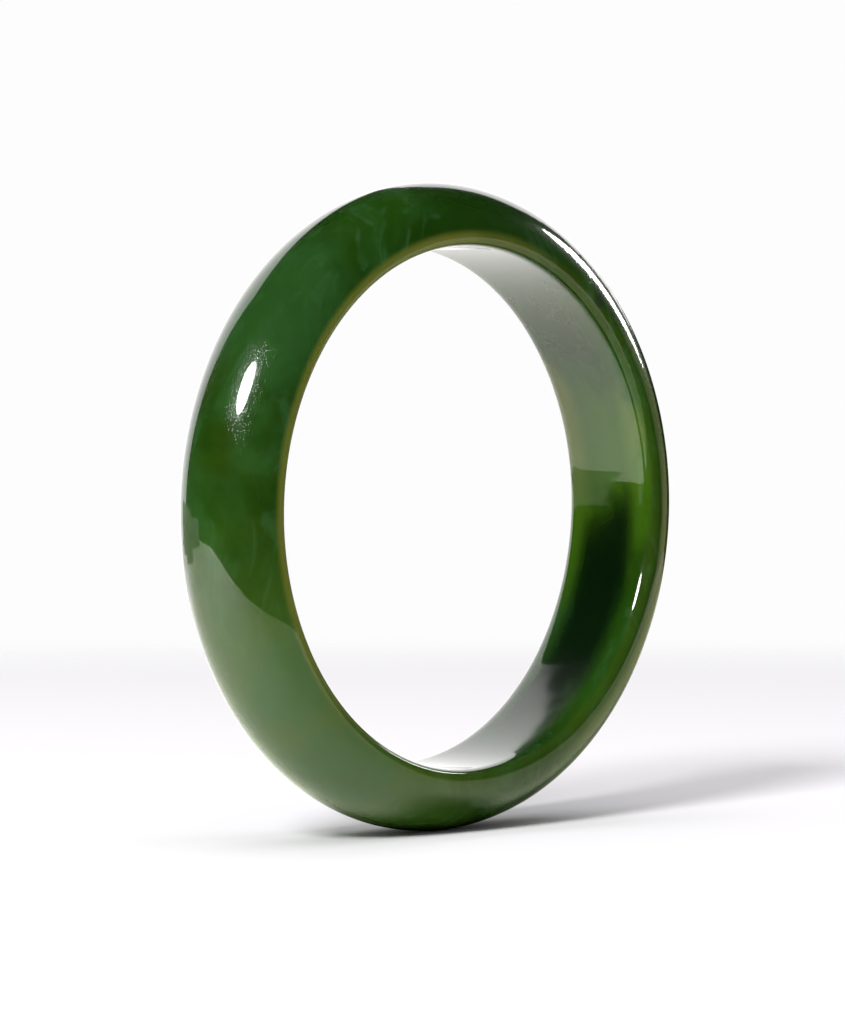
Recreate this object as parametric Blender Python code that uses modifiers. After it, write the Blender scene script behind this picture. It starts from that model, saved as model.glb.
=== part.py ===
"""Jade bangle: one closed ring of nephrite, carved in one piece, with a D-shaped section.

The ring stands on its crown. Its bore runs along Y, Z is up, and the origin is the centre of the bore.
The inside is a plain cylinder, the outside is a dome, and a soft rounding joins them on each side.
Run it with: blender --background --python part.py
"""

import math

import bpy

# Driving dimensions, in metres.
BORE_DIAMETER = 0.0580  # inner diameter, the size a bangle is sold by
WALL = 0.0072  # from the bore to the crown of the dome
WIDTH = 0.0134  # along the bore, between the two side lands
SIDE_LAND = 0.0004  # radial width of the narrow flat that the ring lies on
EDGE_DEPTH = 0.0015  # radial size of the rounding between a land and the bore
EDGE_RUN = 0.0015  # the same rounding measured along the bore
SHOULDER_LEAN = math.radians(13.0)  # how far the dome still leans in where it meets a land

# Facets.
RING_STEPS = 96
DOME_STEPS = 9  # on each half of the dome
EDGE_STEPS = 4
SEAM_MERGE = 0.000001

# Finish: deep green, polished stone.
JADE_GREEN = (0.030, 0.125, 0.020, 1.0)
POLISH_ROUGHNESS = 0.06
JADE_IOR = 1.61

COLLECTION_NAME = "jade_bangle"
RING_NAME = "jade_ring"


def clear_scene():
    for obj in list(bpy.data.objects):
        bpy.data.objects.remove(obj, do_unlink=True)


def conic_arc(start, corner, end, turn, steps):
    """Points after start on the conic that leaves start towards corner and reaches end from corner.

    Points are (radius, height along the bore). turn is the angle between the two tangents:
    the arc is a circle's when both legs are equally long, and an ellipse's otherwise.
    """
    weight = math.cos(turn / 2.0)
    points = []
    for step in range(1, steps + 1):
        t = step / steps
        a, b, c = (1.0 - t) ** 2, 2.0 * t * (1.0 - t) * weight, t**2
        points.append(
            tuple((a * p + b * q + c * r) / (a + b + c) for p, q, r in zip(start, corner, end))
        )
    return points


def half_section():
    """Half of the D, from the crown at mid-width, round the shoulder and the edge, to the bore."""
    bore_radius = BORE_DIAMETER / 2.0
    crown = (bore_radius + WALL, 0.0)
    half_width = WIDTH / 2.0
    shoulder = (bore_radius + EDGE_DEPTH + SIDE_LAND, half_width)
    land_end = (bore_radius + EDGE_DEPTH, half_width)
    bore_end = (bore_radius, half_width - EDGE_RUN)
    lean_rise = (crown[0] - shoulder[0]) * math.tan(SHOULDER_LEAN)
    dome_corner = (crown[0], half_width - lean_rise)
    edge_corner = (bore_radius, half_width)
    quarter_turn = math.pi / 2.0
    dome = conic_arc(crown, dome_corner, shoulder, quarter_turn - SHOULDER_LEAN, DOME_STEPS)
    edge = conic_arc(land_end, edge_corner, bore_end, quarter_turn, EDGE_STEPS)
    return [crown] + dome + [land_end] + edge


def ring_section():
    """The whole D as a closed loop that runs down its outer side and back up along the bore."""
    lower = [(radius, -height) for radius, height in half_section()]
    upper = [(radius, height) for radius, height in half_section()[1:]]
    return list(reversed(upper)) + lower


def make_jade_material():
    material = bpy.data.materials.new("polished_jade")
    material.use_nodes = True
    material.diffuse_color = JADE_GREEN
    shader = material.node_tree.nodes["Principled BSDF"]
    shader.inputs["Base Color"].default_value = JADE_GREEN
    shader.inputs["Roughness"].default_value = POLISH_ROUGHNESS
    shader.inputs["Metallic"].default_value = 0.0
    shader.inputs["IOR"].default_value = JADE_IOR
    return material


def make_ring(collection):
    section = ring_section()
    count = len(section)
    mesh = bpy.data.meshes.new(RING_NAME)
    mesh.from_pydata(
        [(radius, 0.0, height) for radius, height in section],
        [(i, (i + 1) % count) for i in range(count)],
        [],
    )
    mesh.materials.append(make_jade_material())
    ring = bpy.data.objects.new(RING_NAME, mesh)
    collection.objects.link(ring)
    # The section is turned about Z, then the ring is stood up so that its bore runs along Y.
    turn = ring.modifiers.new("turn", "SCREW")
    turn.axis = "Z"
    turn.angle = math.tau
    turn.steps = RING_STEPS
    turn.render_steps = RING_STEPS
    turn.use_merge_vertices = True
    turn.merge_threshold = SEAM_MERGE
    turn.use_smooth_shade = True
    ring.rotation_euler = (math.pi / 2.0, 0.0, 0.0)
    return ring


def main():
    clear_scene()
    collection = bpy.data.collections.new(COLLECTION_NAME)
    bpy.context.scene.collection.children.link(collection)
    make_ring(collection)


main()
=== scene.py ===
"""Jade bangle: the looks of one closed, polished ring of nephrite jade, built round its fixed frame.

The file is laid out as an add-on and run as a script. It carves the ring, dresses it in stone,
lays a pale floor with soft studio light, and sets the camera.
"""

import math

import bmesh
import bpy
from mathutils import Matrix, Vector, noise


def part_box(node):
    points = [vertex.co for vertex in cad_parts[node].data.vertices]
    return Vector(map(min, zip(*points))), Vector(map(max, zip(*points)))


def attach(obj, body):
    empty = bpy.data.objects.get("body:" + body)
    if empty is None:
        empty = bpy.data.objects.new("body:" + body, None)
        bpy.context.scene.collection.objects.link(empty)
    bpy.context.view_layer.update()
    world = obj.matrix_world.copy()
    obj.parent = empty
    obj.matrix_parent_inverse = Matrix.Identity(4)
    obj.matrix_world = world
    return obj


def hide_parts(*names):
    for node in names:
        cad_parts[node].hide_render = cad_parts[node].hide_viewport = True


bl_info = {
    "name": "Jade Bangle",
    "version": (1, 0, 0),
    "blender": (4, 5, 0),
    "location": "View3D > Sidebar > Jade Bangle",
    "description": "Carves and polishes a closed nephrite bangle and lays out a plain pale studio",
    "category": "Add Mesh",
}

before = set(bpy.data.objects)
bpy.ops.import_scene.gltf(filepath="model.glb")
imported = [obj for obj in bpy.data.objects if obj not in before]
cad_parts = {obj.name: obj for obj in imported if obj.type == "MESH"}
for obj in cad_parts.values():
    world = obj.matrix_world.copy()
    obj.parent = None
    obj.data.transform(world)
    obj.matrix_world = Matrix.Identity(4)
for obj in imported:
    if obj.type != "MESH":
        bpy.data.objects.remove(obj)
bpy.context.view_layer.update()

RING_NODE = "jade_ring"
RING_BODY = "root"

NODE_LOW, NODE_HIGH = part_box(RING_NODE)
OUTER_RADIUS = NODE_HIGH.x
RING_WIDTH = NODE_HIGH.y - NODE_LOW.y
BORE_RADIUS = min(math.hypot(v.co.x, v.co.z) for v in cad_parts[RING_NODE].data.vertices)
RING_CENTRE = (NODE_LOW + NODE_HIGH) / 2.0
FLOOR_HEIGHT = NODE_LOW.z


# ---------------------------------------------------------------- settings


class JadeShapeSettings(bpy.types.PropertyGroup):
    """Sizes of the carved ring."""

    outer_radius: bpy.props.FloatProperty(
        name="Outer Radius",
        description="From the bore's axis to the crown of the dome",
        default=OUTER_RADIUS,
        unit="LENGTH",
        precision=5,
    )
    bore_radius: bpy.props.FloatProperty(
        name="Bore Radius",
        description="Radius of the plain cylinder inside",
        default=BORE_RADIUS,
        unit="LENGTH",
        precision=5,
    )
    width: bpy.props.FloatProperty(
        name="Width",
        description="Across the ring at its widest",
        default=RING_WIDTH,
        unit="LENGTH",
        precision=5,
    )
    edge_depth: bpy.props.FloatProperty(
        name="Edge Depth",
        description="Radial size of the soft rounding between the dome and the bore",
        default=0.0021,
        unit="LENGTH",
        precision=5,
    )
    edge_run: bpy.props.FloatProperty(
        name="Edge Run",
        description="The same rounding measured along the bore",
        default=0.0015,
        unit="LENGTH",
        precision=5,
    )
    shoulder_lean: bpy.props.FloatProperty(
        name="Shoulder Lean",
        description="How far the dome still leans in where the edge rounding starts",
        default=math.radians(14.5),
        subtype="ANGLE",
    )
    softness: bpy.props.FloatProperty(
        name="Softness",
        description="How much longer the edge rounding runs where it is softest",
        default=0.55,
    )
    soft_side: bpy.props.FloatProperty(
        name="Soft Side",
        description="Angle round the ring where the edge rounding is softest",
        default=math.radians(-24.0),
        subtype="ANGLE",
    )
    polish_wave: bpy.props.FloatProperty(
        name="Polish Wave",
        description="Depth of the shallow waves that hand polishing leaves",
        default=0.000012,
        unit="LENGTH",
        precision=6,
    )
    polish_wavelength: bpy.props.FloatProperty(
        name="Polish Wavelength",
        description="Typical distance between two of those waves",
        default=0.0075,
        unit="LENGTH",
        precision=4,
    )
    turns: bpy.props.IntProperty(
        name="Facets Round", description="Steps round the ring", default=540, min=96
    )


class JadeFinishSettings(bpy.types.PropertyGroup):
    """Colours and polish of the stone, with the painted glow of light through its thin edges."""

    deep_green: bpy.props.FloatVectorProperty(
        name="Deep Green",
        description="The body of the stone",
        default=(0.016, 0.066, 0.0025),
        subtype="COLOR",
        size=3,
    )
    shade_green: bpy.props.FloatVectorProperty(
        name="Shade Green",
        description="Darker drifts in the stone",
        default=(0.009, 0.042, 0.0015),
        subtype="COLOR",
        size=3,
    )
    cloud_green: bpy.props.FloatVectorProperty(
        name="Cloud Green",
        description="Pale clouds",
        default=(0.026, 0.096, 0.020),
        subtype="COLOR",
        size=3,
    )
    wisp_green: bpy.props.FloatVectorProperty(
        name="Wisp Green",
        description="Thin pale streaks",
        default=(0.036, 0.110, 0.034),
        subtype="COLOR",
        size=3,
    )
    pale_green: bpy.props.FloatVectorProperty(
        name="Pale Green",
        description="The lighter stone low on the left side",
        default=(0.060, 0.125, 0.014),
        subtype="COLOR",
        size=3,
    )
    olive: bpy.props.FloatVectorProperty(
        name="Olive",
        description="Warm mottles in the stone",
        default=(0.034, 0.066, 0.002),
        subtype="COLOR",
        size=3,
    )
    moss: bpy.props.FloatVectorProperty(
        name="Moss",
        description="Brighter yellow green near the far edge of the bore",
        default=(0.050, 0.140, 0.004),
        subtype="COLOR",
        size=3,
    )
    # Painted light: the glow of light coming through the stone where it is thin, used at the bore's far
    # edge, along the near shoulder and on the lit thin edges.
    painted_glow: bpy.props.FloatVectorProperty(
        name="Thin Edge",
        description="Where the stone is thin enough for light to come through",
        default=(0.150, 0.170, 0.024),
        subtype="COLOR",
        size=3,
    )
    heart: bpy.props.FloatVectorProperty(
        name="Heart",
        description="Where the stone is thickest and takes in nearly all light",
        default=(0.001, 0.008, 0.001),
        subtype="COLOR",
        size=3,
    )
    speck: bpy.props.FloatVectorProperty(
        name="Speck",
        description="Small dark mineral grains",
        default=(0.020, 0.026, 0.024),
        subtype="COLOR",
        size=3,
    )
    glow_depth: bpy.props.FloatProperty(
        name="Glow Depth",
        description="How far light travels inside the stone",
        default=0.0016,
        unit="LENGTH",
        precision=4,
    )


class StudioSettings(bpy.types.PropertyGroup):
    """Camera and light."""

    camera_distance: bpy.props.FloatProperty(
        name="Camera Distance",
        description="From the lens to the middle of the ring",
        default=0.5396,
        unit="LENGTH",
    )
    camera_azimuth: bpy.props.FloatProperty(
        name="Camera Azimuth",
        description="Angle round the ring, 0 looking along +Y",
        default=math.radians(-45.8),
        subtype="ANGLE",
    )
    camera_elevation: bpy.props.FloatProperty(
        name="Camera Elevation",
        description="Angle above the horizon",
        default=math.radians(1.94),
        subtype="ANGLE",
    )
    focal_length: bpy.props.FloatProperty(
        name="Focal Length", description="Of the lens, in millimetres", default=169.8
    )
    lens_shift: bpy.props.FloatVectorProperty(
        name="Lens Shift",
        description="Sideways and up, as a share of the sensor",
        default=(-0.0112, -0.0050),
        size=2,
    )
    floor_colour: bpy.props.FloatVectorProperty(
        name="Floor",
        description="Pale floor",
        default=(0.84, 0.835, 0.845),
        subtype="COLOR",
        size=3,
    )
    table_colour: bpy.props.FloatVectorProperty(
        name="Table",
        description="The table top as the polish mirrors it",
        default=(0.66, 0.68, 0.58),
        subtype="COLOR",
        size=3,
    )
    # Painted light: the table top is painted paler behind the ring, where it is more brightly lit.
    table_back_lit: bpy.props.FloatVectorProperty(
        name="Table Back",
        description="The table top behind the ring, where it is paler",
        default=(0.93, 0.91, 0.88),
        subtype="COLOR",
        size=3,
    )
    table_shade: bpy.props.FloatVectorProperty(
        name="Table Shade",
        description="The table top past the ring, away from the lamps",
        default=(0.27, 0.29, 0.18),
        subtype="COLOR",
        size=3,
    )
    table_far_shade: bpy.props.FloatVectorProperty(
        name="Table Far Shade",
        description="The table top far at the right",
        default=(0.42, 0.43, 0.33),
        subtype="COLOR",
        size=3,
    )
    backdrop_colour: bpy.props.FloatVectorProperty(
        name="Backdrop",
        description="What lies past the floor",
        default=(0.985, 0.98, 0.985),
        subtype="COLOR",
        size=3,
    )
    key_power: bpy.props.FloatProperty(
        name="Key Power",
        description="Of the soft lamp at the left that lights the stone and throws its shadow",
        default=11.0,
        unit="POWER",
    )
    table_power: bpy.props.FloatProperty(
        name="Table Power",
        description="Of a nearer lamp that lights only the mirrored table top",
        default=2.6,
        unit="POWER",
    )
    overhead_power: bpy.props.FloatProperty(
        name="Overhead Power",
        description="Of the broad lamp over the floor",
        default=17.0,
        unit="POWER",
    )
    glint_power: bpy.props.FloatProperty(
        name="Glint Power",
        description="Of the small lamp that the polish mirrors at the left",
        default=0.30,
        unit="POWER",
    )
    side_power: bpy.props.FloatProperty(
        name="Side Power",
        description="Of the small lamp that the polish mirrors at the right",
        default=0.10,
        unit="POWER",
    )
    card_glow: bpy.props.FloatProperty(
        name="Card Glow", description="Brightness of the white card behind the ring", default=1.7
    )
    room_light: bpy.props.FloatProperty(
        name="Room Light",
        description="Brightness of the dim room that the polish mirrors",
        default=0.010,
    )
    fill_light: bpy.props.FloatProperty(
        name="Fill Light", description="Soft light from all round", default=0.30
    )


# ---------------------------------------------------------------- carving


def conic_arc(start, corner, end, weight, steps):
    """Points after start on the conic that leaves start towards corner and reaches end from corner."""
    points = []
    for step in range(1, steps + 1):
        t = step / steps
        a, b, c = (1.0 - t) ** 2, 2.0 * t * (1.0 - t) * weight, t**2
        points.append(
            tuple((a * p + b * q + c * r) / (a + b + c) for p, q, r in zip(start, corner, end))
        )
    return points


def half_section(shape, edge_run):
    """Half of the D as (radius, height along the bore): crown, dome, soft edge, bore at mid-width."""
    dome_steps, edge_steps, bore_steps = 34, 18, 8
    half_width = shape.width / 2.0
    slope = math.tan(shape.shoulder_lean)
    crown = (shape.outer_radius, 0.0)
    rise = shape.edge_depth * slope
    bulge = rise**2 / (rise + edge_run)
    shoulder = (shape.bore_radius + shape.edge_depth, half_width - bulge)
    dome_corner = (crown[0], shoulder[1] - (crown[0] - shoulder[0]) * slope)
    edge_corner = (shape.bore_radius, shoulder[1] + rise)
    bore_end = (shape.bore_radius, shoulder[1] - edge_run)
    circle_weight = math.cos((math.pi / 2.0 - shape.shoulder_lean) / 2.0)
    dome = conic_arc(crown, dome_corner, shoulder, circle_weight, dome_steps)
    edge = conic_arc(shoulder, edge_corner, bore_end, 1.0, edge_steps)
    bore = [
        (shape.bore_radius, bore_end[1] * (1.0 - step / bore_steps)) for step in range(1, bore_steps + 1)
    ]
    return [crown] + dome + edge + bore


def worn_edge_run(shape, angle):
    """Run of the edge rounding at an angle round the ring: longer where it has been polished softest."""
    soft_start = 0.45
    towards = math.cos(angle - shape.soft_side)
    reach = max(0.0, (towards - soft_start) / (1.0 - soft_start))
    return shape.edge_run * (1.0 + shape.softness * reach**2 * (3.0 - 2.0 * reach))


def closed_section(shape, edge_run):
    """The whole D as a loop, each point once."""
    front = half_section(shape, edge_run)
    back = [(radius, -height) for radius, height in reversed(front[1:-1])]
    return front + back


def polish_depth(point, shape):
    """How deep polishing has cut at a point: always inwards, in shallow waves, shallowest in the bore."""
    bore_share, full_depth_from = 0.2, 0.001
    above_bore = (math.hypot(point.x, point.z) - shape.bore_radius) / full_depth_from
    share = bore_share + (1.0 - bore_share) * min(1.0, max(0.0, above_bore))
    broad = noise.noise(point / shape.polish_wavelength)
    fine = noise.noise(point / (shape.polish_wavelength * 0.30) + Vector((7.0, 3.0, 5.0)))
    return shape.polish_wave * share * (0.75 + 0.45 * broad + 0.28 * fine)


def make_ring_mesh(shape):
    """The closed ring: the D section at every step round, then cut back by the waves of polishing."""
    count = len(closed_section(shape, shape.edge_run))
    mesh = bpy.data.meshes.new("polished_ring")
    vertices, faces = [], []
    for turn in range(shape.turns):
        angle = math.tau * turn / shape.turns
        section = closed_section(shape, worn_edge_run(shape, angle))
        along, up = math.cos(angle), math.sin(angle)
        vertices.extend((radius * along, height, radius * up) for radius, height in section)
        following = (turn + 1) % shape.turns
        for i in range(count):
            j = (i + 1) % count
            faces.append((turn * count + i, following * count + i, following * count + j, turn * count + j))
    mesh.from_pydata(vertices, [], faces)
    build = bmesh.new()
    build.from_mesh(mesh)
    bmesh.ops.recalc_face_normals(build, faces=build.faces)
    build.normal_update()
    for vertex in build.verts:
        vertex.co -= vertex.normal * polish_depth(vertex.co.copy(), shape)
    build.to_mesh(mesh)
    build.free()
    mesh.shade_smooth()
    return mesh


# ---------------------------------------------------------------- shader helpers


def add_node(tree, kind, place=(0, 0), **settings):
    node = tree.nodes.new(kind)
    node.location = place
    for name, value in settings.items():
        setattr(node, name, value)
    return node


def feed(tree, socket, value):
    """Links an output to an input, or sets the input's own value."""
    if isinstance(value, bpy.types.NodeSocket):
        tree.links.new(value, socket)
    else:
        socket.default_value = value


def maths(tree, operation, *values, place=(0, 0), clamp=False):
    node = add_node(tree, "ShaderNodeMath", place, operation=operation, use_clamp=clamp)
    for socket, value in zip(node.inputs, values):
        feed(tree, socket, value)
    return node.outputs["Value"]


def vector_maths(tree, operation, *values, place=(0, 0)):
    node = add_node(tree, "ShaderNodeVectorMath", place, operation=operation)
    for socket, value in zip(node.inputs, values):
        feed(tree, socket, value)
    return node.outputs["Vector"]


def remap(tree, value, low, high, to_low=0.0, to_high=1.0, place=(0, 0)):
    """Smooth step of a value between low and high."""
    node = add_node(tree, "ShaderNodeMapRange", place, interpolation_type="SMOOTHSTEP")
    feed(tree, node.inputs["Value"], value)
    feed(tree, node.inputs["From Min"], low)
    feed(tree, node.inputs["From Max"], high)
    feed(tree, node.inputs["To Min"], to_low)
    feed(tree, node.inputs["To Max"], to_high)
    return node.outputs["Result"]


def blend(tree, factor, first, second, place=(0, 0)):
    """A mix of two colours: the first where the factor is 0, the second where it is 1."""
    node = add_node(tree, "ShaderNodeMix", place, data_type="RGBA")
    feed(tree, node.inputs["Factor"], factor)
    colours = [socket for socket in node.inputs if socket.type == "RGBA"]
    feed(tree, colours[0], first)
    feed(tree, colours[1], second)
    return next(socket for socket in node.outputs if socket.type == "RGBA")


def fractal(tree, vector, scale, detail, roughness, distortion=0.0, place=(0, 0)):
    """Layered noise as a single value."""
    node = add_node(tree, "ShaderNodeTexNoise", place)
    feed(tree, node.inputs["Vector"], vector)
    feed(tree, node.inputs["Scale"], scale)
    feed(tree, node.inputs["Detail"], detail)
    feed(tree, node.inputs["Roughness"], roughness)
    feed(tree, node.inputs["Distortion"], distortion)
    return node.outputs["Fac"]


def start_group(name, inputs, outputs):
    """A shader node group with float, vector or colour sockets, and its two end nodes."""
    kinds = {"value": "NodeSocketFloat", "vector": "NodeSocketVector", "colour": "NodeSocketColor"}
    group = bpy.data.node_groups.new(name, "ShaderNodeTree")
    for label, kind in inputs:
        group.interface.new_socket(label, in_out="INPUT", socket_type=kinds[kind])
    for label, kind in outputs:
        group.interface.new_socket(label, in_out="OUTPUT", socket_type=kinds[kind])
    entry = add_node(group, "NodeGroupInput", (-900, 0))
    leave = add_node(group, "NodeGroupOutput", (900, 0))
    return group, entry.outputs, leave.inputs


def place_group(tree, group, place, **values):
    node = add_node(tree, "ShaderNodeGroup", place)
    node.node_tree = group
    for label, value in values.items():
        feed(tree, node.inputs[label.replace("_", " ").title()], value)
    return node.outputs


def rgba(colour):
    return (*colour, 1.0)


# ---------------------------------------------------------------- stone


def stone_cloud_group():
    """Soft drifting clouds with thin wisps in them, as fibrous stone shows under polish."""
    group, given, result = start_group(
        "stone_clouds",
        [("Vector", "vector"), ("Scale", "value"), ("Stretch", "vector")],
        [("Clouds", "value"), ("Wisps", "value"), ("Drift", "value")],
    )
    wide = vector_maths(group, "MULTIPLY", given["Vector"], given["Stretch"], place=(-700, 0))
    bend = add_node(group, "ShaderNodeTexNoise", (-700, -250))
    feed(group, bend.inputs["Vector"], given["Vector"])
    feed(group, bend.inputs["Scale"], given["Scale"])
    bend.inputs["Detail"].default_value = 2.0
    centred = vector_maths(group, "SUBTRACT", bend.outputs["Color"], (0.5, 0.5, 0.5), place=(-500, -250))
    pushed = vector_maths(group, "SCALE", centred, place=(-350, -250))
    pushed.node.inputs["Scale"].default_value = 0.014
    warped = vector_maths(group, "ADD", wide, pushed, place=(-200, -100))
    body = fractal(group, warped, given["Scale"], 5.0, 0.55, 0.4, place=(0, 200))
    drawn_out = vector_maths(group, "MULTIPLY", warped, (1.0, 1.0, 0.16), place=(-200, -250))
    fibre_scale = maths(group, "MULTIPLY", given["Scale"], 7.0, place=(-200, -400))
    fibre = fractal(group, drawn_out, fibre_scale, 3.0, 0.5, 0.2, place=(0, -100))
    drift_scale = maths(group, "MULTIPLY", given["Scale"], 0.45, place=(-200, -600))
    drift = fractal(group, warped, drift_scale, 2.0, 0.5, 0.0, place=(0, -500))
    feed(group, result["Clouds"], remap(group, body, 0.47, 0.74, place=(500, 200)))
    feed(group, result["Wisps"], remap(group, fibre, 0.52, 0.72, place=(500, -100)))
    feed(group, result["Drift"], remap(group, drift, 0.40, 0.62, place=(500, -500)))
    return group


def grain_group():
    """Scattered grains: cells of a given size, of which only a share hold a grain."""
    group, given, result = start_group(
        "scattered_grains",
        [("Vector", "vector"), ("Scale", "value"), ("Radius", "value"), ("Share", "value")],
        [("Grains", "value")],
    )
    cells = add_node(group, "ShaderNodeTexVoronoi", (-500, 0), feature="F1")
    feed(group, cells.inputs["Vector"], given["Vector"])
    feed(group, cells.inputs["Scale"], given["Scale"])
    edge = maths(group, "MULTIPLY", given["Radius"], 0.55, place=(-300, -150))
    round_spot = remap(group, cells.outputs["Distance"], given["Radius"], edge, place=(-100, 0))
    chance = add_node(group, "ShaderNodeSeparateColor", (-300, 150))
    feed(group, chance.inputs["Color"], cells.outputs["Color"])
    chosen = maths(group, "LESS_THAN", chance.outputs["Red"], given["Share"], place=(-100, 150))
    feed(group, result["Grains"], maths(group, "MULTIPLY", round_spot, chosen, place=(200, 0)))
    return group


def thickness_group(shape):
    """Masks that follow the thickness of the D: the thin edges by the bore, and its thick heart."""
    group, given, result = start_group(
        "stone_thickness",
        [("Vector", "vector")],
        [(name, "value") for name in ("Edge", "Heart", "Far Edge", "Shoulder", "Inside")],
    )
    parts = add_node(group, "ShaderNodeSeparateXYZ", (-700, 0))
    feed(group, parts.inputs["Vector"], given["Vector"])
    across = maths(group, "ABSOLUTE", parts.outputs["Y"], place=(-500, 100))
    square = maths(group, "MULTIPLY", parts.outputs["X"], parts.outputs["X"], place=(-500, -100))
    total = maths(group, "MULTIPLY_ADD", parts.outputs["Z"], parts.outputs["Z"], square, place=(-350, -100))
    radius = maths(group, "SQRT", total, place=(-200, -100))
    half, bore = shape.width / 2.0, shape.bore_radius
    sideways = remap(group, across, half * 0.80, half * 0.95, place=(0, 100))
    outer_fade = remap(group, radius, bore + 0.0021, bore + 0.0011, place=(0, -100))
    bore_fade = remap(group, radius, bore + 0.00005, bore + 0.0005, place=(0, -250))
    rim = maths(group, "MULTIPLY", outer_fade, bore_fade, place=(200, -150))
    feed(group, result["Edge"], maths(group, "MULTIPLY", sideways, rim, place=(400, 0)))
    inside = remap(group, radius, bore + 0.0008, bore + 0.0002, place=(0, -400))
    middle = remap(group, across, half * 0.78, half * 0.30, place=(0, -550))
    feed(group, result["Heart"], maths(group, "MULTIPLY", inside, middle, place=(400, -300)))
    beside = remap(group, across, half * 0.35, half * 0.72, place=(0, -700))
    feed(group, result["Far Edge"], maths(group, "MULTIPLY", inside, beside, place=(400, -500)))
    feed(group, result["Inside"], inside)
    lower = remap(group, radius, bore + 0.0016, bore + 0.0028, place=(0, 300))
    upper = remap(group, radius, bore + 0.0055, bore + 0.0036, place=(0, 450))
    feed(group, result["Shoulder"], maths(group, "MULTIPLY", lower, upper, place=(400, 300)))
    return group


def patch_group():
    """A soft-edged, uneven patch round a centre."""
    group, given, result = start_group(
        "soft_patch",
        [("Vector", "vector"), ("Centre", "vector"), ("Radius", "value"), ("Uneven", "value")],
        [("Patch", "value")],
    )
    away = vector_maths(group, "SUBTRACT", given["Vector"], given["Centre"], place=(-600, 0))
    length = add_node(group, "ShaderNodeVectorMath", (-400, 0), operation="LENGTH")
    feed(group, length.inputs[0], away)
    reach = maths(group, "DIVIDE", length.outputs["Value"], given["Radius"], place=(-200, 0))
    ragged = fractal(group, given["Vector"], 160.0, 4.0, 0.6, 0.6, place=(-400, -200))
    either_way = maths(group, "SUBTRACT", ragged, 0.5, place=(-200, -200))
    push = maths(group, "MULTIPLY", either_way, given["Uneven"], place=(0, -200))
    pushed = maths(group, "ADD", reach, push, place=(200, 0))
    feed(group, result["Patch"], remap(group, pushed, 1.0, 0.35, place=(400, 0)))
    return group


def ring_point(radius, degrees, height):
    """A point on the ring: its radius, its angle from +X towards +Z, and its height along the bore."""
    angle = math.radians(degrees)
    return (radius * math.cos(angle), height, radius * math.sin(angle))


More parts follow.
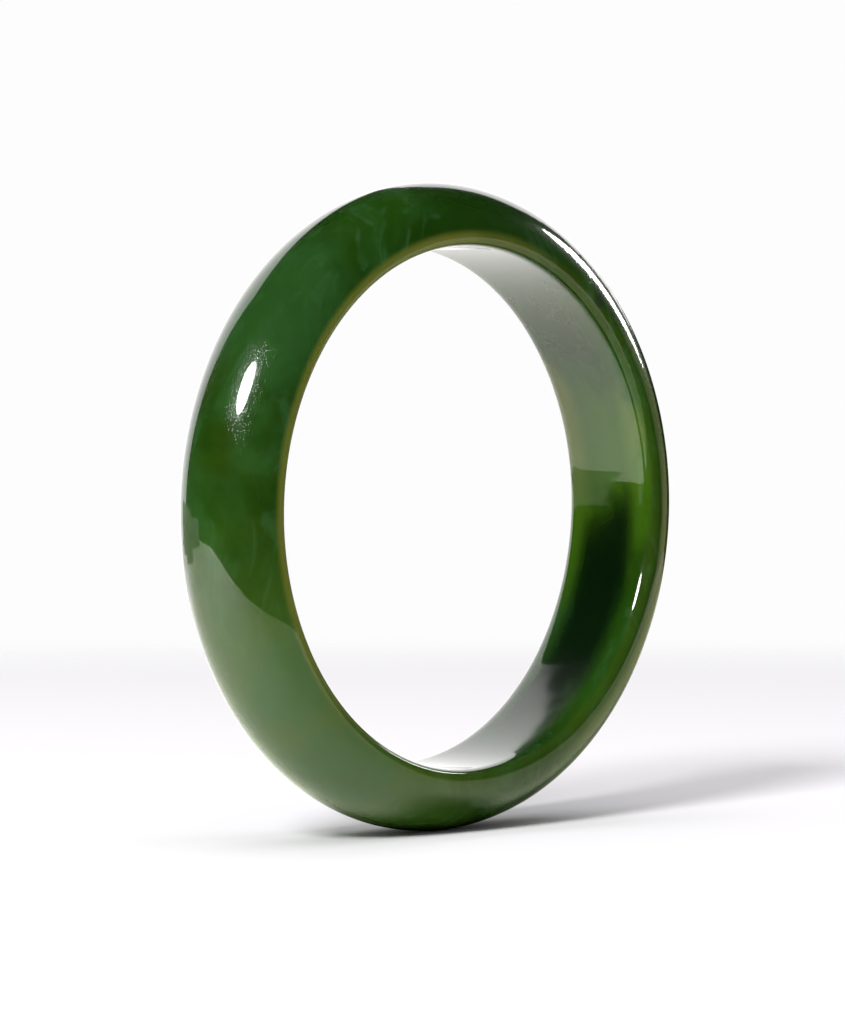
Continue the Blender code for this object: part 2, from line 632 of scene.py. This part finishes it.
def make_jade(shape, finish):
    """The stone: clouds and drifts of colour, painted glow where light comes through thin edges, a crisp
    polish with a faint wide haze, light inside it.
    """
    material = bpy.data.materials.new("polished_jade")
    material.use_nodes = True
    tree = material.node_tree
    shader = tree.nodes["Principled BSDF"]
    shader.location = (1400, 0)
    where = add_node(tree, "ShaderNodeTexCoord", (-1400, 0)).outputs["Object"]
    clouds = place_group(
        tree, stone_cloud_group(), (-1000, 300), vector=where, scale=70.0, stretch=(1.0, 1.35, 0.8)
    )
    elsewhere = vector_maths(tree, "ADD", where, (0.31, 0.17, 0.23), place=(-1200, 0))
    mottles = place_group(
        tree, stone_cloud_group(), (-1000, 0), vector=elsewhere, scale=48.0, stretch=(1.2, 0.9, 1.0)
    )
    warp = add_node(tree, "ShaderNodeTexNoise", (-1300, -400))
    feed(tree, warp.inputs["Vector"], where)
    warp.inputs["Scale"].default_value = 700.0
    warp_reach = (0.0012, 0.0012, 0.0012)
    bent = vector_maths(tree, "MULTIPLY_ADD", warp.outputs["Color"], warp_reach, where, place=(-1150, -400))
    grains_of, patch_of = grain_group(), patch_group()
    dark_grains = place_group(
        tree, grains_of, (-1000, -300), vector=bent, scale=150.0, radius=0.06, share=0.03
    )
    dulled = ring_point(shape.outer_radius, 157.0, -0.0036)
    dulled_patch = place_group(
        tree, patch_of, (-1200, -600), vector=where, centre=dulled, radius=0.0085, uneven=0.8
    )
    crowding = remap(tree, dulled_patch["Patch"], 0.0, 1.0, 0.004, 0.75, place=(-1100, -600))
    pits = place_group(
        tree, grains_of, (-1000, -500), vector=where, scale=5600.0, radius=0.42, share=crowding
    )
    thickness = place_group(tree, thickness_group(shape), (-1000, -700), vector=where)

    shade_green, deep_green = rgba(finish.shade_green), rgba(finish.deep_green)
    body = blend(tree, clouds["Drift"], shade_green, deep_green, place=(-600, 300))
    warm = maths(tree, "MULTIPLY", mottles["Clouds"], 0.60, place=(-600, 0))
    body = blend(tree, warm, body, rgba(finish.olive), place=(-400, 250))
    pale = maths(tree, "MULTIPLY", clouds["Clouds"], 0.80, place=(-600, 150))
    body = blend(tree, pale, body, rgba(finish.cloud_green), place=(-200, 250))
    wisp = maths(tree, "MULTIPLY", clouds["Wisps"], 0.50, place=(-400, 50))
    body = blend(tree, wisp, body, rgba(finish.wisp_green), place=(0, 250))

    bore = shape.bore_radius
    heart, far_edge, shoulder = thickness["Heart"], thickness["Far Edge"], thickness["Shoulder"]
    inside = thickness["Inside"]
    outside = maths(tree, "SUBTRACT", 1.0, inside, place=(-700, -700))
    # Soft patches of colour in the stone. The rows with painted_glow paint light coming through thin stone,
    # at the far edge of the bore and along the near shoulder.
    drifts = [
        (ring_point(bore, 8.0, 0.002), 0.0150, 0.7, finish.moss, 0.90, inside),
        (ring_point(bore, 16.0, 0.005), 0.0130, 0.7, finish.painted_glow, 0.70, far_edge),
        (ring_point(bore, -8.0, 0.006), 0.0130, 0.7, finish.moss, 0.60, far_edge),
        (ring_point(bore, -32.0, 0.0), 0.0190, 0.9, finish.heart, 0.97, heart),
        (ring_point(bore, -12.0, -0.0035), 0.0090, 0.6, finish.heart, 0.92, heart),
        (ring_point(bore + 0.005, 86.0, -0.005), 0.0120, 0.9, finish.shade_green, 0.85, None),
        (ring_point(bore + 0.006, 142.0, -0.003), 0.0150, 1.2, finish.cloud_green, 0.50, None),
        (ring_point(bore + 0.004, 228.0, -0.004), 0.0330, 0.5, finish.pale_green, 0.55, outside),
        (ring_point(bore + 0.004, 214.0, -0.005), 0.0080, 1.2, finish.cloud_green, 0.60, outside),
        (ring_point(bore + 0.004, 236.0, -0.005), 0.0090, 1.2, finish.cloud_green, 0.60, outside),
        (ring_point(bore + 0.003, -12.0, -0.006), 0.0160, 0.5, finish.painted_glow, 0.35, shoulder),
        (ring_point(bore + 0.003, -42.0, -0.006), 0.0150, 0.5, finish.painted_glow, 0.35, shoulder),
    ]
    for number, (centre, reach, uneven, colour, strength, limit) in enumerate(drifts):
        place = (-100 + 150 * number, 600)
        patch = place_group(
            tree, patch_of, place, vector=where, centre=centre, radius=reach, uneven=uneven
        )
        mask = maths(tree, "MULTIPLY", patch["Patch"], strength, place=place)
        if limit is not None:
            mask = maths(tree, "MULTIPLY", mask, limit, place=place)
        body = blend(tree, mask, body, rgba(colour), place=place)

    inner = maths(tree, "MULTIPLY", heart, 0.25, place=(900, 400))
    body = blend(tree, inner, body, rgba(finish.heart), place=(1000, 300))
    # Painted light: the thin edges by the bore are painted brighter towards the upper left, where the key
    # lamp shines through them.
    sunny = ring_point(bore, 150.0, 0.0)
    lit_side = place_group(
        tree, patch_of, (800, 0), vector=where, centre=sunny, radius=0.050, uneven=0.25
    )
    light_through = remap(tree, lit_side["Patch"], 0.0, 1.0, 0.10, 0.95, place=(900, 100))
    glow = maths(tree, "MULTIPLY", thickness["Edge"], light_through, place=(900, 200))
    body = blend(tree, glow, body, rgba(finish.painted_glow), place=(1100, 250))
    grey_spot = ring_point(bore + 0.0017, 49.0, -0.0067)
    inclusion = place_group(
        tree, patch_of, (1000, 0), vector=where, centre=grey_spot, radius=0.0014, uneven=0.5
    )
    dark = maths(tree, "MULTIPLY", inclusion["Patch"], 0.55, place=(1050, 100))
    dark = maths(tree, "MAXIMUM", dark, dark_grains["Grains"], place=(1150, 100))
    body = blend(tree, dark, body, rgba(finish.speck), place=(1200, 250))
    feed(tree, shader.inputs["Base Color"], body)

    smear = fractal(tree, where, 160.0, 4.0, 0.6, 0.5, place=(-400, -300))
    roughness = remap(tree, smear, 0.35, 0.75, 0.035, 0.060, place=(-200, -300))
    feed(tree, shader.inputs["Roughness"], roughness)

    worked_side = ring_point(shape.outer_radius, 40.0, -0.005)
    worked = place_group(
        tree, patch_of, (-400, -800), vector=where, centre=worked_side, radius=0.028, uneven=0.2
    )
    swell = remap(tree, worked["Patch"], 0.0, 1.0, 0.4, 4.5, place=(-200, -850))
    ripple = fractal(tree, where, 560.0, 2.0, 0.5, 0.3, place=(-200, -700))
    ripple = maths(tree, "MULTIPLY", ripple, swell, place=(0, -700))
    shallow = maths(tree, "MULTIPLY", pits["Grains"], 0.6, place=(0, -550))
    height = maths(tree, "SUBTRACT", ripple, shallow, place=(200, -600))
    height = maths(tree, "MULTIPLY", height, outside, place=(300, -600))
    bump = add_node(tree, "ShaderNodeBump", (400, -500))
    bump.inputs["Strength"].default_value = 0.8
    bump.inputs["Distance"].default_value = 0.000012
    feed(tree, bump.inputs["Height"], height)
    feed(tree, shader.inputs["Normal"], bump.outputs["Normal"])

    shader.inputs["IOR"].default_value = 1.60
    shader.inputs["Coat Weight"].default_value = 0.5
    shader.inputs["Coat Roughness"].default_value = 0.24
    shader.inputs["Coat IOR"].default_value = 1.15
    shader.inputs["Subsurface Weight"].default_value = 0.55
    shader.inputs["Subsurface Radius"].default_value = (0.55, 1.0, 0.25)
    shader.inputs["Subsurface Scale"].default_value = finish.glow_depth
    return material


# ---------------------------------------------------------------- studio


def stage_axes(studio):
    """Unit vectors on the floor: away from the camera, and to its right."""
    azimuth = studio.camera_azimuth
    away = Vector((-math.sin(azimuth), math.cos(azimuth), 0.0))
    right = Vector((math.cos(azimuth), math.sin(azimuth), 0.0))
    return away, right


def make_flat(name, corners, material):
    mesh = bpy.data.meshes.new(name)
    mesh.from_pydata([tuple(c) for c in corners], [], [tuple(range(len(corners)))])
    mesh.materials.append(material)
    obj = bpy.data.objects.new(name, mesh)
    bpy.context.scene.collection.objects.link(obj)
    return obj


def pale_material(name, colour, glow=0.0):
    """Matt and pale, with a glow of its own if one is given."""
    material = bpy.data.materials.new(name)
    material.use_nodes = True
    shader = material.node_tree.nodes["Principled BSDF"]
    shader.inputs["Base Color"].default_value = rgba(colour) if glow == 0.0 else (0.0, 0.0, 0.0, 1.0)
    shader.inputs["Roughness"].default_value = 0.9
    shader.inputs["Specular IOR Level"].default_value = 0.0
    shader.inputs["Emission Color"].default_value = rgba(colour)
    shader.inputs["Emission Strength"].default_value = glow
    return material


def fade_rim(material, full_radius, clear_radius):
    """Lets a round floor fade out softly between two radii, so that it has no hard edge."""
    tree = material.node_tree
    shader = tree.nodes["Principled BSDF"]
    where = add_node(tree, "ShaderNodeTexCoord", (-800, 0)).outputs["Object"]
    length = add_node(tree, "ShaderNodeVectorMath", (-600, 0), operation="LENGTH")
    feed(tree, length.inputs[0], where)
    alpha = remap(tree, length.outputs["Value"], full_radius, clear_radius, 1.0, 0.0, place=(-400, 0))
    feed(tree, shader.inputs["Alpha"], alpha)


def make_floor(studio):
    """A round pale floor for the lens. The polish mirrors the table top instead."""
    rim_points, floor_radius, full_radius, clear_radius = 128, 0.37, 0.24, 0.36
    material = pale_material("pale_floor", studio.floor_colour)
    fade_rim(material, full_radius, clear_radius)
    turns = [math.tau * i / rim_points for i in range(rim_points)]
    rim = [Vector((math.cos(turn), math.sin(turn), 0.0)) * floor_radius for turn in turns]
    floor = make_flat("floor", rim, material)
    floor.location = (RING_CENTRE.x, RING_CENTRE.y, FLOOR_HEIGHT)
    floor.visible_glossy = False
    return floor


def shade_table(material, studio, away, right):
    """Makes the table top paler behind the ring, dimmer to its right and dark right under it: painted light
    behind, painted shade to the right, away from the lamps, and a painted contact shadow under the ring.
    """
    tree = material.node_tree
    where = add_node(tree, "ShaderNodeTexCoord", (-1100, 0)).outputs["Object"]
    across = add_node(tree, "ShaderNodeVectorMath", (-900, 0), operation="DOT_PRODUCT")
    feed(tree, across.inputs[0], where)
    feed(tree, across.inputs[1], tuple(right - away * 0.33))
    # Painted shade: the table top grows dimmer towards the right, away from the lamps.
    first = remap(tree, across.outputs["Value"], -0.045, 0.040, place=(-700, 100))
    second = remap(tree, across.outputs["Value"], 0.090, 0.130, place=(-700, -100))
    behind = add_node(tree, "ShaderNodeVectorMath", (-900, 300), operation="DOT_PRODUCT")
    feed(tree, behind.inputs[0], where)
    feed(tree, behind.inputs[1], tuple(away))
    # Painted light: the table top grows paler further behind the ring.
    depth = remap(tree, behind.outputs["Value"], 0.015, 0.120, place=(-700, 300))
    colour = blend(tree, depth, rgba(studio.table_colour), rgba(studio.table_back_lit), place=(-600, 200))
    colour = blend(tree, first, colour, rgba(studio.table_shade), place=(-500, 100))
    colour = blend(tree, second, colour, rgba(studio.table_far_shade), place=(-300, 50))
    # Painted contact shadow: the table top darkens to near black within 13 mm of the point under the ring.
    reach = add_node(tree, "ShaderNodeVectorMath", (-900, -300), operation="LENGTH")
    feed(tree, reach.inputs[0], where)
    under = remap(tree, reach.outputs["Value"], 0.013, 0.006, place=(-700, -300))
    colour = blend(tree, under, colour, (0.01, 0.01, 0.01, 1.0), place=(-100, 0))
    feed(tree, tree.nodes["Principled BSDF"].inputs["Base Color"], colour)


def make_table_top(studio):
    """What the polish mirrors below the horizon: a table top with one rounded corner in front."""
    away, right = stage_axes(studio)
    round_start, round_corner, round_end = (-0.240, -0.040), (-0.174, -0.112), (-0.098, -0.107)
    outline = [(0.300, -0.035), (0.300, 0.310), (-0.240, 0.310), round_start]
    outline += conic_arc(round_start, round_corner, round_end, 2.4, 16)
    outline += [(-0.015, -0.086), (0.054, -0.077)]
    clear_of_floor = 0.0001
    base = Vector((RING_CENTRE.x, RING_CENTRE.y, FLOOR_HEIGHT + clear_of_floor))
    corners = [right * across + away * back for across, back in outline]
    material = pale_material("table_top", studio.table_colour)
    shade_table(material, studio, away, right)
    table = make_flat("table_top", corners, material)
    table.location = base
    leave_to_polish(table)
    return table


def leave_to_polish(obj):
    """Hides an object from the lens and from matt surfaces: only the polish mirrors it."""
    obj.visible_camera = False
    obj.visible_diffuse = False
    obj.visible_shadow = False
    obj.visible_transmission = False


def make_card(name, colour, glow, corners):
    """A flat card that only the polish sees."""
    leave_to_polish(make_flat(name, corners, pale_material(name, colour, glow)))


def make_cards(studio):
    """The white card behind the ring, with a swept edge, two dim boards at its left, one at its right."""
    away, right = stage_axes(studio)
    base = Vector((RING_CENTRE.x, RING_CENTRE.y, FLOOR_HEIGHT))

    def stand(outline):
        """Points given as (to the right, away, up) from under the ring."""
        return [base + right * across + away * back + Vector((0, 0, up)) for across, back, up in outline]

    white_back, left_side, strip_side, right_side = 0.31, -0.130, -0.080, 0.25
    white = [(-0.47, 0.0), (0.045, 0.0), (0.045, 0.085), (0.158, 0.10), (0.158, 0.25)]
    sweep_start, sweep_corner, sweep_end = (-0.026, 0.174), (-0.124, 0.381), (-0.500, 0.617)
    white += [(0.05, 0.30), (0.0, 0.26), sweep_start]
    white += conic_arc(sweep_start, sweep_corner, sweep_end, 1.15, 24)
    white += [(-0.500, 0.45)]
    white = stand([(across, white_back, up) for across, up in white])
    make_card("white_card", (1.0, 0.98, 0.99), studio.card_glow, white)
    left = [(0.0115, 0.009), (0.07, 0.009), (0.07, 0.013), (0.11, 0.013), (0.11, 0.037), (0.0115, 0.035)]
    left = stand([(left_side, back, up) for back, up in left])
    make_card("left_board", (1.0, 1.0, 0.85), 0.50, left)
    strip = [(-0.029, 0.0235), (-0.003, 0.0235), (-0.003, 0.0340), (-0.029, 0.0330)]
    strip = stand([(strip_side, back, up) for back, up in strip])
    make_card("left_strip", (1.0, 1.0, 0.90), 0.55, strip)
    right_hand = [(0.11, 0.0), (0.11, 0.10), (0.34, 0.12), (0.34, 0.0)]
    right_hand = stand([(right_side, back, up) for back, up in right_hand])
    make_card("right_board", (1.0, 0.95, 0.50), 0.34, right_hand)


def make_lamp(name, power, position, target, wide, high):
    """An oval soft lamp that the lens doesn't see."""
    light = bpy.data.lights.new(name, "AREA")
    light.shape = "ELLIPSE"
    light.size = wide
    light.size_y = high
    light.energy = power
    lamp = bpy.data.objects.new(name, light)
    bpy.context.scene.collection.objects.link(lamp)
    lamp.location = position
    lamp.rotation_euler = (Vector(target) - Vector(position)).to_track_quat("-Z", "Y").to_euler()
    lamp.visible_camera = False
    return lamp


def make_lamps(studio, floor, table):
    """Soft lamps for light and shadow, two of them for the floor and table alone, and two for glints."""
    key_place = Vector((-0.839, -0.272, 0.641))
    table_place = Vector((-0.286, -0.085, 0.202))
    overhead_place = Vector((0.0, 0.0, 1.50))
    glint_place = Vector((-0.1428, -0.0424, 0.1008))
    side_place = Vector((0.1535, -0.0060, 0.0660))
    key = make_lamp("key_lamp", studio.key_power, key_place, RING_CENTRE, 0.32, 0.32)
    near = make_lamp("table_lamp", studio.table_power, table_place, RING_CENTRE, 0.10, 0.10)
    overhead = make_lamp("overhead_lamp", studio.overhead_power, overhead_place, RING_CENTRE, 2.4, 2.4)
    overhead.data.color = (1.0, 0.965, 1.0)
    for lamp in (key, near, overhead):
        lamp.visible_glossy = False
    for lamp, surfaces in ((near, (table,)), (overhead, (floor, table))):
        lit = bpy.data.collections.new(lamp.name + "_lights")
        for surface in surfaces:
            lit.objects.link(surface)
        lamp.light_linking.receiver_collection = lit
    glint = make_lamp("left_glint", studio.glint_power, glint_place, RING_CENTRE, 0.052, 0.048)
    side = make_lamp("right_glint", studio.side_power, side_place, RING_CENTRE, 0.034, 0.066)
    for lamp in (glint, side):
        lamp.visible_diffuse = False


def make_world(studio):
    """Pale to the lens, a dim room to the polish, and a soft fill to all other light paths."""
    world = bpy.data.worlds.new("studio_room")
    bpy.context.scene.world = world
    world.use_nodes = True
    tree = world.node_tree
    background = tree.nodes["Background"]
    ray = add_node(tree, "ShaderNodeLightPath", (-800, 0))
    dim = (studio.room_light, studio.room_light, studio.room_light, 1.0)
    fill = (studio.fill_light, studio.fill_light, studio.fill_light, 1.0)
    seen = blend(tree, ray.outputs["Is Glossy Ray"], fill, dim, place=(-500, 0))
    seen = blend(tree, ray.outputs["Is Camera Ray"], seen, rgba(studio.backdrop_colour), place=(-300, 0))
    feed(tree, background.inputs["Color"], seen)
    background.inputs["Strength"].default_value = 1.0


# ---------------------------------------------------------------- operators


class JADE_OT_carve_ring(bpy.types.Operator):
    """Carve the ring at high resolution and give it its polished stone."""

    bl_idname = "jade_bangle.carve_ring"
    bl_label = "Carve Jade Ring"
    bl_options = {"REGISTER", "UNDO"}

    def execute(self, context):
        shape, finish = context.scene.jade_shape, context.scene.jade_finish
        ring = bpy.data.objects.new("polished_jade_ring", make_ring_mesh(shape))
        context.scene.collection.objects.link(ring)
        ring.data.materials.append(make_jade(shape, finish))
        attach(ring, RING_BODY)
        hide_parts(RING_NODE)
        return {"FINISHED"}


class JADE_OT_lay_out_studio(bpy.types.Operator):
    """Lay the pale floor, hang the white card, and set the lamps and the dim room."""

    bl_idname = "jade_bangle.lay_out_studio"
    bl_label = "Lay Out Studio"
    bl_options = {"REGISTER", "UNDO"}

    def execute(self, context):
        studio = context.scene.jade_studio
        floor = make_floor(studio)
        table = make_table_top(studio)
        make_cards(studio)
        make_lamps(studio, floor, table)
        make_world(studio)
        context.scene.view_settings.view_transform = "Standard"
        return {"FINISHED"}


class JADE_OT_set_camera(bpy.types.Operator):
    """Set the camera low at the front left, looking at the middle of the ring."""

    bl_idname = "jade_bangle.set_camera"
    bl_label = "Set Camera"
    bl_options = {"REGISTER", "UNDO"}

    def execute(self, context):
        studio = context.scene.jade_studio
        azimuth, elevation = studio.camera_azimuth, studio.camera_elevation
        back = Vector(
            (
                math.sin(azimuth) * math.cos(elevation),
                -math.cos(azimuth) * math.cos(elevation),
                math.sin(elevation),
            )
        )
        lens = bpy.data.cameras.new("camera")
        lens.lens = studio.focal_length
        lens.sensor_width = 36.0
        lens.shift_x, lens.shift_y = studio.lens_shift
        lens.clip_start = 0.01
        lens.clip_end = 10.0
        camera = bpy.data.objects.new("camera", lens)
        context.scene.collection.objects.link(camera)
        camera.location = RING_CENTRE + back * studio.camera_distance
        camera.rotation_euler = (-back).to_track_quat("-Z", "Y").to_euler()
        context.scene.camera = camera
        return {"FINISHED"}


# ---------------------------------------------------------------- panel


class JADE_PT_bangle(bpy.types.Panel):
    """Buttons and settings for the bangle."""

    bl_label = "Jade Bangle"
    bl_idname = "JADE_PT_bangle"
    bl_space_type = "VIEW_3D"
    bl_region_type = "UI"
    bl_category = "Jade Bangle"

    def draw(self, context):
        layout = self.layout
        for operator in (JADE_OT_carve_ring, JADE_OT_lay_out_studio, JADE_OT_set_camera):
            layout.operator(operator.bl_idname)
        for settings in (context.scene.jade_shape, context.scene.jade_finish, context.scene.jade_studio):
            box = layout.box()
            for name in settings.__annotations__:
                box.prop(settings, name)


CLASSES = (
    JadeShapeSettings,
    JadeFinishSettings,
    StudioSettings,
    JADE_OT_carve_ring,
    JADE_OT_lay_out_studio,
    JADE_OT_set_camera,
    JADE_PT_bangle,
)


def register():
    for cls in CLASSES:
        bpy.utils.register_class(cls)
    bpy.types.Scene.jade_shape = bpy.props.PointerProperty(type=JadeShapeSettings)
    bpy.types.Scene.jade_finish = bpy.props.PointerProperty(type=JadeFinishSettings)
    bpy.types.Scene.jade_studio = bpy.props.PointerProperty(type=StudioSettings)


def unregister():
    del bpy.types.Scene.jade_studio
    del bpy.types.Scene.jade_finish
    del bpy.types.Scene.jade_shape
    for cls in reversed(CLASSES):
        bpy.utils.unregister_class(cls)


def main():
    register()
    bpy.ops.jade_bangle.set_camera()
    bpy.ops.jade_bangle.carve_ring()
    bpy.ops.jade_bangle.lay_out_studio()


if __name__ == "__main__":
    main()
